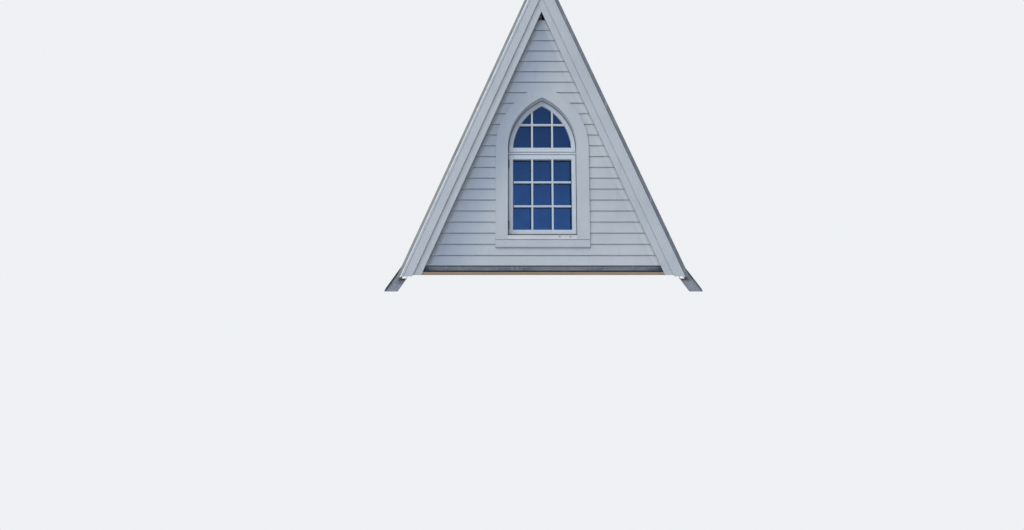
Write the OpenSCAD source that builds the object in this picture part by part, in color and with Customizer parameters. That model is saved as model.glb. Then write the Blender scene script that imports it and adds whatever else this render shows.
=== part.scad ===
// Steep gable dormer with a pointed window, carried by a sloping main roof.
// Millimetres. The front faces -Y, +X is to the right and +Z is up.
// The origin is the middle of the sole plate's underside.

/* [Roof form] */
// Width across the roof boards, level with the underside of the sole plate
roof_w = 3386; // [3300:2:3600]
// Pitch of the two dormer slopes, in degrees
roof_pitch = 67.4; // [67:0.1:70]
// Pitch of the main roof that carries the dormer, in degrees
main_pitch = 50; // [45:0.5:54]
// Depth of the main roof's slates and battens, square to its boards
main_cover_t = 45; // [35:1:55]

/* [Roof covering] */
// Thickness of the roof boards
roof_board_t = 22; // [18:1:30]
// Thickness of the lapped slates
slate_t = 28; // [18:1:32]
// How far the slates stop above the main roof's boards
slate_stop_h = 60; // [50:1:90]
// Thickness of the sheet metal
sheet_t = 2; // [1:0.5:3]
// Width of the ridge cap down each slope
ridge_cap_w = 140; // [100:5:200]
// Width of the verge cap over the slates
verge_cap_w = 120; // [80:5:180]
// How far the verge cap laps down over the barge board
verge_lap = 15; // [10:1:30]

/* [Valley gutters] */
// Reach of the gutter outside the dormer's slope
gutter_out_w = 70; // [50:5:100]
// Reach of the spout under the foot of the barge board
gutter_in_w = 80; // [40:5:110]
// Height of the gutter's turned-up edge
gutter_edge_h = 25; // [15:1:32]
// Height of the gutter's flange up the dormer's slope
gutter_flange_h = 130; // [100:5:180]
// How far the spout reaches out from the front of the barge boards
spout_reach = 130; // [60:5:200]

/* [Barge boards] */
// Width of the back board, square to its length
barge_w = 225; // [205:1:250]
// Width of the face board, square to its length
barge_face_w = 137; // [110:1:170]
// Thickness of the back board
barge_t = 28; // [20:1:34]
// Thickness of the face board
barge_face_t = 22; // [18:1:30]
// Width of the fillet along the face board's upper edge
fillet_w = 36; // [30:1:50]
// How far the fillet stands out from the face board
fillet_t = 7; // [4:1:12]
// Distance from the cladding to the back of the barge boards
verge_gap = 45; // [25:1:80]

/* [Carpentry] */
// Width of the sole plate and of the studs, front to back
stud_d = 98; // [90:1:148]
// Thickness of the studs
stud_t = 48; // [36:1:60]
// Height of the sole plate
sole_h = 48; // [36:1:60]
// Distance from the centre line to the outer face of a side stud
side_stud_x = 1004; // [900:1:1100]
// Thickness of a rafter
rafter_t = 48; // [36:1:60]
// Depth of a rafter, square to the slope
rafter_d = 123; // [98:1:148]
// Distance from one rafter to the next
rafter_gap = 580; // [500:10:700]
// Thickness of the ridge board
ridge_t = 28; // [22:1:36]
// Depth of the ridge board
ridge_d = 180; // [150:5:220]
// Height of the collar ties' lower edge
tie_z = 2640; // [2560:10:2800]
// Depth of a collar tie
tie_h = 98; // [70:1:120]
// Thickness of a collar tie
tie_t = 28; // [22:1:36]
// Thickness of the lay boards on the main roof
lay_t = 28; // [22:1:36]
// Width of the lay boards, measured square to the dormer's slope
lay_w = 180; // [150:5:220]

/* [Gable wall] */
// Thickness of the sheathing boards
sheathing_t = 22; // [18:1:28]
// Thickness of the clapboards
cladding_t = 22; // [18:1:28]
// Height of the cladding's lower edge
cladding_foot_z = 77; // [60:1:90]
// Height of the cladding's upper edge, under the open top of the gable
cladding_top_z = 3400; // [3250:5:3480]
// Length of the apron's flange down the main roof
apron_flange = 40; // [30:1:80]
// Height of the apron behind the cladding
apron_lap = 60; // [40:1:90]

/* [Window opening] */
// Clear width between the legs of the casing
opening_w = 856; // [760:2:880]
// Distance of each arc's centre past the centre line
arc_shift = 320; // [300:5:380]
// Height where the pointed arch springs
spring_z = 1630; // [1610:1:1640]
// Width of the casing
casing_w = 152; // [120:1:170]
// Thickness of the casing
casing_t = 40; // [32:1:50]
// Height of the casing's foot board
casing_foot_h = 93; // [80:1:130]
// Open joint between the legs of the casing and its foot board
casing_joint = 4; // [2:0.5:8]
// Height of the sill's underside
sill_z = 407; // [395:1:418]
// Height of the sill under the casement
sill_h = 93; // [80:1:110]
// Height of the sill's front
nosing_h = 50; // [40:1:60]
// How far the sill's front stands out from the casing
nosing_reach = 5; // [2:1:20]

/* [Window frame and sashes] */
// Thickness of the frame around the sashes
frame_t = 45; // [36:1:50]
// How much of the frame shows inside the casing
frame_reveal = 4; // [1:0.5:6]
// Height of the frame's stop behind the sashes
stop_h = 12; // [8:1:16]
// Height of the transom's lower edge
transom_z = 1568; // [1556:1:1580]
// Height of the transom
transom_h = 25; // [20:1:32]
// How far the sashes stand back from the face of the casing
sash_setback = 88; // [75:1:98]
// Thickness of the sashes
sash_t = 45; // [38:1:50]
// Width of the sash stiles and of the arch
stile_w = 50; // [45:1:65]
// Height of the sash rails
rail_h = 57; // [50:1:72]
// Gap all round a sash
sash_gap = 8; // [3:0.5:10]
// Width of the rebate that holds the glass
rebate_w = 10; // [7:1:14]
// Thickness of the glass
glass_t = 4; // [3:0.5:6]
// Depth of wood behind the glass
glass_backing = 14; // [10:1:18]

/* [Hinges] */
// Length of a hinge
hinge_l = 105; // [70:5:130]
// Diameter of a hinge's barrel
hinge_d = 14; // [10:1:18]
// Thickness of a hinge's leaf
hinge_leaf_t = 2.4; // [1.6:0.2:2.6]
// Distance from the end of the casement to the middle of its hinge
hinge_inset = 120; // [90:5:200]

/* [Hidden] */

// Seat clearance between pieces that meet on a slope or a curve
fit = 0.3;
// How far a cut runs past the face that it opens
past = 1;
// Reach of the half spaces that trim the roof pieces
reach = 6000;
// Facets of a full circle
arc_fn = 128;

// Depths below the top of the roof boards, square to the dormer's slope: positive is inward
boards_in_d = roof_board_t;
rafter_out_d = boards_in_d + fit;
rafter_in_d = rafter_out_d + rafter_d;
slate_in_d = -fit;
slate_out_d = slate_in_d - slate_t;
verge_in_d = slate_out_d - fit;
verge_out_d = verge_in_d - sheet_t;
cap_in_d = verge_out_d - fit;
cap_out_d = cap_in_d - sheet_t;

// Faces of the gable wall, front to back
wall_back_y = stud_d / 2;
wall_front_y = -stud_d / 2;
sheathing_y = wall_front_y - sheathing_t;
felt_gap = sheet_t + 2 * fit;
cladding_back_y = sheathing_y - felt_gap;
cladding_y = cladding_back_y - cladding_t;
casing_y = sheathing_y - casing_t;
nosing_y = casing_y - nosing_reach;
barge_back_y = cladding_y - verge_gap;
barge_mid_y = barge_back_y - barge_t;
barge_face_y = barge_mid_y - barge_face_t;
barge_front_y = barge_face_y - fillet_t;
verge_y = barge_front_y - fit - sheet_t;
spout_y = verge_y - spout_reach;

// The main roof's boards pass through the sole plate's lower front edge
main_y = wall_front_y;
roof_apex_z = roof_w / 2 * tan(roof_pitch);
roof_end_y = main_y + roof_apex_z / tan(main_pitch) + reach / 10;
roof_low_z = -reach / 10;

// Window, from the middle outward
opening_half = opening_w / 2;
casing_half = opening_half + casing_w;
frame_in_half = opening_half - frame_reveal;
stop_half = frame_in_half - stop_h;
frame_half = frame_in_half + frame_t;
rough_half = frame_half + fit;
sash_half = frame_in_half - sash_gap;
glazing_half = sash_half - stile_w;
sight_half = glazing_half - rebate_w;

// Window, from the bottom up
casing_foot_top_z = sill_z - casing_joint;
casing_foot_z = casing_foot_top_z - casing_foot_h;
frame_foot_z = sill_z + sill_h;
casement_z = frame_foot_z + sash_gap;
casement_top_z = transom_z - sash_gap;
top_sash_z = transom_z + transom_h + sash_gap;
frame_arch_rise = sqrt(pow(frame_half + arc_shift, 2) - pow(arc_shift, 2));
header_z = spring_z + frame_arch_rise + fit;
rough_sill_h = stud_t;

// Window, front to back
sash_y = casing_y + sash_setback;
sash_back_y = sash_y + sash_t;
stop_y = sash_back_y + fit;
glass_back_y = sash_back_y - glass_backing;
glass_y = glass_back_y - glass_t;

// The jambs stand where the sill's slope reaches the front of the frame
sill_slope = (sill_h - nosing_h) / (sash_y - nosing_y);
jamb_foot_z = sill_z + nosing_h + sill_slope * (sheathing_y - nosing_y);

// Rafters, from the gable back to where the ridge meets the main roof
first_rafter_y = wall_front_y;
last_rafter_room = 500;
rafter_n = floor((roof_apex_z / tan(main_pitch) - last_rafter_room) / rafter_gap) + 1;

// Height of the dormer's slope at a distance from the centre line
function slope_z(d, x) = roof_apex_z - d / cos(roof_pitch) - x * tan(roof_pitch);

// Distance of the dormer's slope from the centre line, at a height
function slope_x(d, z) = (roof_apex_z - d / cos(roof_pitch) - z) / tan(roof_pitch);

// A point that lies s down the right slope and d below the top of the roof boards
function on_slope(s, d) = [
    s * cos(roof_pitch) - d * sin(roof_pitch),
    roof_apex_z - s * sin(roof_pitch) - d * cos(roof_pitch)
];

// The same point on the left slope
function mirrored(p) = [-p[0], p[1]];

// Height of a plane h above the main roof's boards
function main_z(y, h) = (y - main_y) * tan(main_pitch) + h / cos(main_pitch);

// Extrudes an outline drawn in X and Z from front to back
module front_to_back(y0, y1) {
    translate([0, y1, 0]) rotate([90, 0, 0]) linear_extrude(y1 - y0) children();
}

// Extrudes an outline drawn in Y and Z across the dormer, about its centre line
module across(half_w) {
    rotate([90, 0, 90]) translate([0, 0, -half_w]) linear_extrude(2 * half_w) children();
}

// A plain block from its lowest corner to its highest
module block(low, high) {
    translate(low) cube(high - low);
}

module on_left() {
    mirror([1, 0, 0]) children();
}

// Layer between two heights above the main roof's boards
module main_layer(h0, h1) {
    translate([0, main_y, 0]) rotate([main_pitch, 0, 0]) block([-reach, -reach, h0], [reach, reach, h1]);
}

module above_main(h) {
    main_layer(h, reach);
}

// Outline of the right slope between two depths, starting x0 from the centre line
module slope_2d(d_out, d_in, x0 = 0) {
    polygon([
        [x0, slope_z(d_out, x0)],
        [slope_x(d_out, roof_low_z), roof_low_z],
        [slope_x(d_in, roof_low_z), roof_low_z],
        [x0, slope_z(d_in, x0)]
    ]);
}

module slope_layer(d_out, d_in, y0, y1, x0 = 0) {
    front_to_back(y0, y1) slope_2d(d_out, d_in, x0);
}

// Outline of the gable under both slopes, between two heights
module gable_2d(d, z0, z1) {
    polygon([
        [-slope_x(d, z0), z0], [slope_x(d, z0), z0],
        [slope_x(d, z1), z1], [-slope_x(d, z1), z1]
    ]);
}

// Everything that lies deeper than a depth below both slopes
module under_slopes_2d(d) {
    x = slope_x(d, roof_low_z);
    polygon([[-x, roof_low_z], [x, roof_low_z], [0, slope_z(d, 0)]]);
}

// Pointed outline: two arcs on a straight-sided foot
module lancet_2d(half_w, foot_z) {
    r = half_w + arc_shift;
    intersection() {
        translate([arc_shift, spring_z]) circle(r = r, $fn = arc_fn);
        translate([-arc_shift, spring_z]) circle(r = r, $fn = arc_fn);
        translate([-half_w, max(spring_z, foot_z)]) square([2 * half_w, r]);
    }
    if (foot_z < spring_z) {
        translate([-half_w, foot_z]) square([2 * half_w, spring_z - foot_z]);
    }
}

module lancet(half_w, foot_z, y0, y1) {
    front_to_back(y0, y1) lancet_2d(half_w, foot_z);
}

// Right half of a pointed arch, between two half widths
module half_arch(in_half, out_half, y0, y1) {
    r = out_half + arc_shift;
    front_to_back(y0, y1) intersection() {
        difference() {
            translate([-arc_shift, spring_z]) circle(r = r, $fn = arc_fn);
            translate([-arc_shift, spring_z]) circle(r = in_half + arc_shift, $fn = arc_fn);
        }
        translate([0, spring_z]) square([out_half + past, r]);
    }
}

module sole_plate() {
    color("burlywood") front_to_back(wall_front_y, wall_back_y) gable_2d(rafter_out_d, 0, sole_h);
}

// A stud from the sole plate to the underside of the rafters
module stud(x) {
    color("burlywood") intersection() {
        block([x, wall_front_y, sole_h], [x + stud_t, wall_back_y, roof_apex_z]);
        front_to_back(wall_front_y, wall_back_y) under_slopes_2d(rafter_in_d + fit);
    }
}

module window_stud_right() {
    stud(rough_half);
}

module window_stud_left() {
    on_left() window_stud_right();
}

module side_stud_right() {
    stud(side_stud_x - stud_t);
}

module side_stud_left() {
    on_left() side_stud_right();
}

module rough_sill() {
    color("burlywood")
        block([-rough_half, wall_front_y, sill_z - rough_sill_h], [rough_half, wall_back_y, sill_z]);
}

// Header over the arch, its ends cut to the underside of the rafters where they come low
module window_header() {
    color("burlywood") intersection() {
        block([-rough_half, wall_front_y, header_z], [rough_half, wall_back_y, header_z + tie_h]);
        front_to_back(wall_front_y, wall_back_y) under_slopes_2d(rafter_in_d + fit);
    }
}

// The first rafter stands on the sole plate, the others on the lay board
module rafters_right() {
    color("burlywood") {
        intersection() {
            rafter(first_rafter_y);
            block([0, first_rafter_y, sole_h], [roof_w, wall_back_y, roof_apex_z]);
        }
        for (i = [1 : rafter_n - 1]) {
            intersection() {
                rafter(first_rafter_y + i * rafter_gap);
                above_main(lay_t + fit);
            }
        }
    }
}

module rafter(y) {
    slope_layer(rafter_out_d, rafter_in_d, y, y + rafter_t, ridge_t / 2);
}

module rafters_left() {
    on_left() rafters_right();
}

// Ridge board with a top bevelled to both slopes
module ridge_board() {
    side_z = slope_z(rafter_out_d, ridge_t / 2);
    color("burlywood") intersection() {
        front_to_back(barge_back_y, roof_end_y) polygon([
            [-ridge_t / 2, side_z - ridge_d], [ridge_t / 2, side_z - ridge_d],
            [ridge_t / 2, side_z], [0, slope_z(rafter_out_d, 0)], [-ridge_t / 2, side_z]
        ]);
        above_main(lay_t + fit);
    }
}

// Boards across the back of each rafter pair that stands high enough over the main roof
module collar_ties() {
    color("burlywood") for (i = [1 : rafter_n - 1]) {
        y = first_rafter_y + i * rafter_gap + rafter_t;
        if (main_z(y + tie_t, lay_t + tie_h) < tie_z) {
            front_to_back(y, y + tie_t) gable_2d(rafter_out_d, tie_z, tie_z + tie_h);
        }
    }
}

// Board on the main roof that carries the feet of the rafters
module lay_board_right() {
    color("burlywood") intersection() {
        slope_layer(rafter_out_d, rafter_out_d + lay_w, wall_back_y + fit, roof_end_y);
        main_layer(0, lay_t);
    }
}

module lay_board_left() {
    on_left() lay_board_right();
}

module roof_boards_right() {
    color("tan") intersection() {
        slope_layer(0, boards_in_d, barge_back_y, roof_end_y);
        above_main(0);
    }
}

module roof_boards_left() {
    on_left() roof_boards_right();
}

// Slates, hollowed at the valley to lap over the gutter's flange
module slates_right() {
    color("slategray") difference() {
        intersection() {
            slope_layer(slate_out_d, slate_in_d, barge_front_y, roof_end_y);
            above_main(slate_stop_h);
        }
        intersection() {
            slope_layer(-sheet_t - 2 * fit, slate_in_d + past, barge_back_y - fit, roof_end_y);
            main_layer(0, gutter_flange_h + fit);
        }
    }
}

module slates_left() {
    on_left() slates_right();
}

// Folded cap over both slopes, trimmed where the ridge runs into the main roof
module ridge_cap() {
    out_edge = on_slope(ridge_cap_w, cap_out_d);
    in_edge = on_slope(ridge_cap_w, cap_in_d);
    color("dimgray") intersection() {
        front_to_back(verge_y, roof_end_y) polygon([
            [0, slope_z(cap_out_d, 0)], out_edge, in_edge,
            [0, slope_z(cap_in_d, 0)], mirrored(in_edge), mirrored(out_edge)
        ]);
        above_main(main_cover_t);
    }
}

// Folded cap over the edge of the slates and the top of the barge boards
module verge_cap_right() {
    color("slategray") intersection() {
        union() {
            slope_layer(verge_out_d, verge_in_d, verge_y, verge_y + verge_cap_w);
            slope_layer(verge_out_d, verge_lap, verge_y, verge_y + sheet_t);
        }
        above_main(main_cover_t);
    }
}

module verge_cap_left() {
    on_left() verge_cap_right();
}

// Trough on the main roof with a turned-up outer edge and a flange up the dormer's slope
module valley_gutter_right() {
    out_d = -gutter_out_w;
    front_y = barge_back_y;
    color("dimgray") {
        intersection() {
            union() {
                slope_layer(out_d, -fit, front_y - fit, roof_end_y);
                slope_layer(out_d, gutter_in_w, spout_y, front_y - fit);
            }
            main_layer(0, sheet_t);
        }
        intersection() {
            slope_layer(out_d, out_d + sheet_t, spout_y, roof_end_y);
            main_layer(0, gutter_edge_h);
        }
        intersection() {
            slope_layer(gutter_in_w - sheet_t, gutter_in_w, spout_y, front_y - fit);
            main_layer(0, gutter_edge_h);
        }
        intersection() {
            slope_layer(-sheet_t - fit, -fit, front_y, roof_end_y);
            main_layer(0, gutter_flange_h);
        }
    }
}

module valley_gutter_left() {
    on_left() valley_gutter_right();
}

// The right back board runs past the centre line to the far edge of the left one
module barge_back_right() {
    color("whitesmoke") intersection() {
        front_to_back(barge_mid_y, barge_back_y) intersection() {
            slope_2d(0, barge_w, -barge_w);
            under_slopes_2d(0);
        }
        above_main(main_cover_t);
    }
}

// The left back board butts against the lower edge of the right one
module barge_back_left() {
    color("whitesmoke") intersection() {
        front_to_back(barge_mid_y, barge_back_y) difference() {
            mirror([1, 0]) slope_2d(0, barge_w);
            slope_2d(-barge_w, barge_w + fit, -barge_w);
        }
        above_main(main_cover_t);
    }
}

// The face boards meet on a plumb cut, which covers the butt joint behind, and each has a fillet
module barge_face_right() {
    color("whitesmoke") intersection() {
        union() {
            slope_layer(0, barge_face_w, barge_face_y, barge_mid_y);
            slope_layer(0, fillet_w, barge_front_y, barge_mid_y);
        }
        above_main(main_cover_t);
    }
}

module barge_face_left() {
    on_left() barge_face_right();
}

module gable_sheathing() {
    color("burlywood") difference() {
        front_to_back(sheathing_y, wall_front_y) gable_2d(rafter_out_d, 0, cladding_top_z);
        lancet(rough_half, sill_z - fit, sheathing_y - past, wall_front_y + past);
    }
}

module gable_cladding() {
    color("whitesmoke") difference() {
        front_to_back(cladding_y, cladding_back_y)
            gable_2d(rafter_out_d, cladding_foot_z, cladding_top_z);
        lancet(casing_half + fit, casing_foot_z - fit, cladding_y - past, cladding_back_y + past);
    }
}

// Upstand behind the cladding, bent out along the main roof's slates
module apron_flashing() {
    back_y = sheathing_y - fit;
    bend_z = main_z(back_y, main_cover_t);
    out_y = back_y - sheet_t - apron_flange * cos(main_pitch);
    out_z = main_z(out_y, main_cover_t);
    rise = sheet_t / cos(main_pitch);
    color("dimgray") intersection() {
        across(roof_w / 2) polygon([
            [back_y, bend_z], [back_y, cladding_foot_z + apron_lap],
            [back_y - sheet_t, cladding_foot_z + apron_lap],
            [back_y - sheet_t, main_z(back_y - sheet_t, main_cover_t) + rise],
            [out_y, out_z + rise], [out_y, out_z]
        ]);
        front_to_back(barge_back_y, wall_front_y) under_slopes_2d(rafter_out_d);
    }
}

module casing_leg_right() {
    color("whitesmoke")
        block([opening_half, casing_y, sill_z], [casing_half, sheathing_y, spring_z]);
}

module casing_leg_left() {
    on_left() casing_leg_right();
}

module casing_arch_right() {
    color("whitesmoke") half_arch(opening_half, casing_half, casing_y, sheathing_y);
}

module casing_arch_left() {
    on_left() casing_arch_right();
}

module casing_foot() {
    color("whitesmoke")
        block([-casing_half, casing_y, casing_foot_z], [casing_half, sheathing_y, casing_foot_top_z]);
}

// Sill that falls from the casement to its nosing: seats for the jambs, and a stop behind the casement
module window_sill() {
    color("whitesmoke") {
        across(frame_half) polygon([
            [wall_back_y, sill_z], [wall_back_y, frame_foot_z + stop_h],
            [stop_y, frame_foot_z + stop_h], [stop_y, jamb_foot_z],
            [sheathing_y, jamb_foot_z], [sheathing_y, sill_z]
        ]);
        across(frame_in_half - fit) polygon([
            [stop_y, sill_z], [stop_y, frame_foot_z], [sash_y, frame_foot_z],
            [sheathing_y, jamb_foot_z], [sheathing_y, sill_z]
        ]);
        across(opening_half - fit) polygon([
            [sheathing_y, sill_z], [sheathing_y, jamb_foot_z],
            [nosing_y, sill_z + nosing_h], [nosing_y, sill_z]
        ]);
    }
}

// Jamb that stands on the sill's seat, with a stop behind the sashes
module frame_jamb_right() {
    color("whitesmoke") {
        block([frame_in_half, sheathing_y, jamb_foot_z], [frame_half, stop_y, spring_z]);
        block([stop_half, stop_y, frame_foot_z + stop_h], [frame_half, wall_back_y, spring_z]);
    }
}

module frame_jamb_left() {
    on_left() frame_jamb_right();
}

module frame_arch_right() {
    color("whitesmoke") {
        half_arch(frame_in_half, frame_half, sheathing_y, stop_y);
        half_arch(stop_half, frame_half, stop_y, wall_back_y);
    }
}

module frame_arch_left() {
    on_left() frame_arch_right();
}

// Cross piece between the two lights, flush with their sashes, with stops above and below
module transom() {
    color("whitesmoke") {
        block([-frame_in_half, sash_y, transom_z], [frame_in_half, stop_y, transom_z + transom_h]);
        block([-stop_half, stop_y, transom_z - stop_h],
            [stop_half, wall_back_y, transom_z + transom_h + stop_h]);
    }
}

// Fixed light: a pointed sash, rebated from the front for its glass
module top_sash() {
    foot_z = top_sash_z + rail_h;
    color("whitesmoke") difference() {
        lancet(sash_half, top_sash_z, sash_y, sash_back_y);
        lancet(glazing_half, foot_z, sash_y - past, glass_back_y);
        lancet(sight_half, foot_z + rebate_w, sash_y, sash_back_y + past);
    }
}

module top_glass() {
    color("midnightblue") lancet(glazing_half - fit, top_sash_z + rail_h + fit, glass_y, glass_back_y);
}

module casement_sash() {
    low_z = casement_z + rail_h;
    high_z = casement_top_z - rail_h;
    color("whitesmoke") difference() {
        block([-sash_half, sash_y, casement_z], [sash_half, sash_back_y, casement_top_z]);
        block([-glazing_half, sash_y - past, low_z], [glazing_half, glass_back_y, high_z]);
        block([-sight_half, sash_y, low_z + rebate_w], [sight_half, sash_back_y + past, high_z - rebate_w]);
    }
}

module casement_glass() {
    color("midnightblue") block(
        [-glazing_half + fit, glass_y, casement_z + rail_h + fit],
        [glazing_half - fit, glass_back_y, casement_top_z - rail_h - fit]
    );
}

// Barrels in front of the casement's left edge, each with a leaf on the jamb
module hinges() {
    color("darkslategray") for (z = [casement_z + hinge_inset, casement_top_z - hinge_inset]) {
        translate([0, 0, z - hinge_l / 2]) hinge();
    }
}

module hinge() {
    barrel_x = -frame_in_half + fit + hinge_d / 2;
    barrel_y = sash_y - fit - hinge_d / 2;
    leaf_x = -frame_in_half + fit;
    translate([barrel_x, barrel_y, 0]) cylinder(d = hinge_d, h = hinge_l, $fn = 32);
    block([leaf_x, barrel_y, 0], [leaf_x + hinge_leaf_t, sash_back_y, hinge_l]);
}

sole_plate();
window_stud_left();
window_stud_right();
side_stud_left();
side_stud_right();
rough_sill();
window_header();
rafters_left();
rafters_right();
ridge_board();
collar_ties();
lay_board_left();
lay_board_right();
roof_boards_left();
roof_boards_right();
slates_left();
slates_right();
ridge_cap();
verge_cap_left();
verge_cap_right();
valley_gutter_left();
valley_gutter_right();
barge_back_left();
barge_back_right();
barge_face_left();
barge_face_right();
gable_sheathing();
gable_cladding();
apron_flashing();
casing_leg_left();
casing_leg_right();
casing_arch_left();
casing_arch_right();
casing_foot();
window_sill();
frame_jamb_left();
frame_jamb_right();
frame_arch_left();
frame_arch_right();
transom();
top_sash();
casement_sash();
top_glass();
casement_glass();
hinges();
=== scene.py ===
import math

import bmesh
import bpy
from mathutils import Matrix, Vector


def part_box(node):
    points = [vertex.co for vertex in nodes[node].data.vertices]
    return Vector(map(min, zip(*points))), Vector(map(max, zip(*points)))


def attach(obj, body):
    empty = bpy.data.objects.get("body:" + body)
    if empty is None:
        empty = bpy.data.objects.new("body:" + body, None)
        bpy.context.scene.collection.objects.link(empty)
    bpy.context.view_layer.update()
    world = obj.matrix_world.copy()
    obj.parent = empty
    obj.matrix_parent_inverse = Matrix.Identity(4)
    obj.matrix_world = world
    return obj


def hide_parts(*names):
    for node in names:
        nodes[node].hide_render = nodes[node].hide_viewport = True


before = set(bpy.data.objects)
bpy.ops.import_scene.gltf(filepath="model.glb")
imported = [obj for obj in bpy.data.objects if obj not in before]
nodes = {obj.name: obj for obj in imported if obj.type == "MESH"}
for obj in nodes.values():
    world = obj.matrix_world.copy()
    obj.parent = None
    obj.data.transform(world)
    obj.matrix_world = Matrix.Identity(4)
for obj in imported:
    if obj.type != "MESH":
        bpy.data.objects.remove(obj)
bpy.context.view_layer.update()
mm = 0.001

# Roof form, as in the part's source
roof_pitch = math.radians(67.4)
roof_board_t = 22 * mm
apex_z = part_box("roof_boards_right")[1].z
roof_front_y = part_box("slates_right")[0].y
roof_back_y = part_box("slates_right")[1].y
roof_low_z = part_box("slates_right")[0].z

# Slates, with the arc of their tails
slate_w = 342 * mm
slate_l = 480 * mm
slate_t = 7 * mm
slate_exposure = 200 * mm
slate_lean = 7.4 * mm
slate_tail = 150 * mm
slate_gap = 5 * mm
slate_stack = 28 * mm
slate_arc_cuts = 12
tail_radius = (slate_w**2 / 4 + slate_tail**2) / (2 * slate_tail)
tail_angle = math.asin(slate_w / 2 / tail_radius)
tail_grime_and_shadow_w = 16 * mm

# How unevenly a slate lies, in radians: how far it tips and how far it turns in its course
slate_tip = 0.0012
slate_twist = 0.010

# Clapboards, and the depths under a slope between which their paint takes a painted shadow by the left
# eaves and a painted light by the right ones
clap_exposure = 145 * mm
clap_w = 170 * mm
clap_t = 10.4 * mm
clap_step = 10.8 * mm
clap_trim = 12 * mm
clap_foot_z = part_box("gable_cladding")[0].z - clap_trim
painted_shadow_depths = (225 * mm, 340 * mm, 900 * mm)
painted_shadow_share = 0.42
painted_light_depths = (170 * mm, 215 * mm, 300 * mm)
painted_light_share = 0.6

# Plain boards
plank_w = 145 * mm
plank_gap = 3 * mm

# How far laid boards stay inside the solid that trims them, and run past its ends
board_play = 0.1 * mm
board_overrun = 50 * mm

# Window
arc_shift = 320 * mm
spring_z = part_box("casing_arch_left")[0].z
sash_face_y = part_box("casement_sash")[0].y
sash_back_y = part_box("casement_sash")[1].y
glass_face_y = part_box("casement_glass")[0].y
glass_back_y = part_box("casement_glass")[1].y
glazing_half = 366 * mm
rebate_w = 10 * mm
casement_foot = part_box("casement_glass")[0].z
casement_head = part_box("casement_glass")[1].z
top_light_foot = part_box("top_glass")[0].z

# Window bars, with the moulding on their room side
bar_w = 26 * mm
bar_nose_w = 20 * mm
bar_back_w = 18 * mm
bar_back_step = 5 * mm
bar_back_gap = 2 * mm
bar_x = 126 * mm
casement_bar_z = (877 * mm, 1196 * mm)
top_light_bar_z = 1970 * mm
rail_setback = 0.6 * mm
bar_shade_w = 24 * mm

# Putty
putty_w = 4 * mm
putty_setback = 2 * mm
putty_bevel_w = 1 * mm
putty_bevel_d = 2 * mm

# Stains on the sill's nosing
sill_stains = ((207 * mm, -116 * mm, 444 * mm), (339 * mm, -116 * mm, 440 * mm))
stain_r = 16 * mm

# Hinges
hinge_l = 105 * mm
hinge_r = 7 * mm
hinge_pin_r = 0.62 * hinge_r
hinge_collar_r = 0.9 * hinge_r
hinge_groove_r = 0.8 * hinge_r
hinge_collar_l = 1.5 * mm
hinge_groove_l = 0.8 * mm
hinge_knuckles = 5
leaf_t = 2.4 * mm
leaf_l = hinge_l - 2 * mm

# Building felt over the sheathing
felt_t = 1 * mm
felt_gap = 0.1 * mm

# Rolled rim of a verge, as its depth below the top of the roof boards; its colour is a painted highlight on
# the left verge and painted shade on the right
verge_rim_depth = 4 * mm
verge_rim_blur = 1 * mm

# Open triangle over the clapboards, where the timber turns blue-grey, most at the front
open_apex_z = 3380 * mm
open_apex_depth = 1900 * mm

# Edges eased with a plane, where faces meet at more than an angle
timber_edge = 3 * mm
sawn_edge = 2 * mm
edge_cuts = 2
sharp_angle = math.radians(40)
large_face_weight = 100

# Corners closer than this are merged, and so are faces that meet at less than this angle
weld_gap = 0.02 * mm
outline_weld_gap = 0.05 * mm
slate_weld_gap = 0.1 * mm
flat_angle = math.radians(0.5)

# Ways that a grain or a brush runs, as turns from X
level = (0, 0, 0)
upright = (0, math.pi / 2, 0)
rake_left = (0, roof_pitch, 0)
rake_right = (0, -roof_pitch, 0)
depthwise = (0, 0, math.pi / 2)

# The turn that stands courses upright on the gable wall, facing out
wall_turn = (math.pi / 2, 0, 0)

# Paints, each with its darker and its lighter tone
house_white = ((0.388, 0.422, 0.464), (0.450, 0.476, 0.512))
window_white = ((0.456, 0.500, 0.574), (0.522, 0.561, 0.630))
sill_white = ((0.488, 0.506, 0.538), (0.565, 0.571, 0.594))
rain_streak = (0.27, 0.29, 0.31)
paint_speck = (0.17, 0.17, 0.165)
# Painted shadow by the left eaves and painted light by the right ones
eaves_shade = (0.09, 0.155, 0.285)
painted_light_white = (0.74, 0.77, 0.80)
lap_grime_and_shade = (0.10, 0.11, 0.13)
nosing_stain = (0.13, 0.12, 0.13)
sill_dirt_and_shade = (0.045, 0.04, 0.045)

# Timber
early_wood = (0.23, 0.14, 0.075)
late_wood = (0.47, 0.33, 0.20)
pale_board = (0.46, 0.37, 0.26)
aged_wood = (0.27, 0.22, 0.17)
knot_brown = (0.12, 0.065, 0.03)
apex_grey = (0.20, 0.26, 0.33)

# Slate: the stones, each from its own share of the slates on, and what lies on them
slate_stones = (
    (0.00, (0.35, 0.345, 0.325)), (0.16, (0.42, 0.42, 0.395)), (0.30, (0.31, 0.335, 0.315)),
    (0.42, (0.46, 0.445, 0.405)), (0.56, (0.36, 0.38, 0.385)), (0.68, (0.40, 0.415, 0.38)),
    (0.80, (0.49, 0.475, 0.44)), (0.92, (0.29, 0.30, 0.30)), (0.97, (0.42, 0.35, 0.29)),
)
slate_stain = (0.22, 0.225, 0.215)
slate_fleck = (0.12, 0.125, 0.12)
slate_bloom = (0.60, 0.60, 0.56)
# Grime and painted shadow below each tail
slate_tail_grime_and_shadow = (0.03, 0.03, 0.03)
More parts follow.
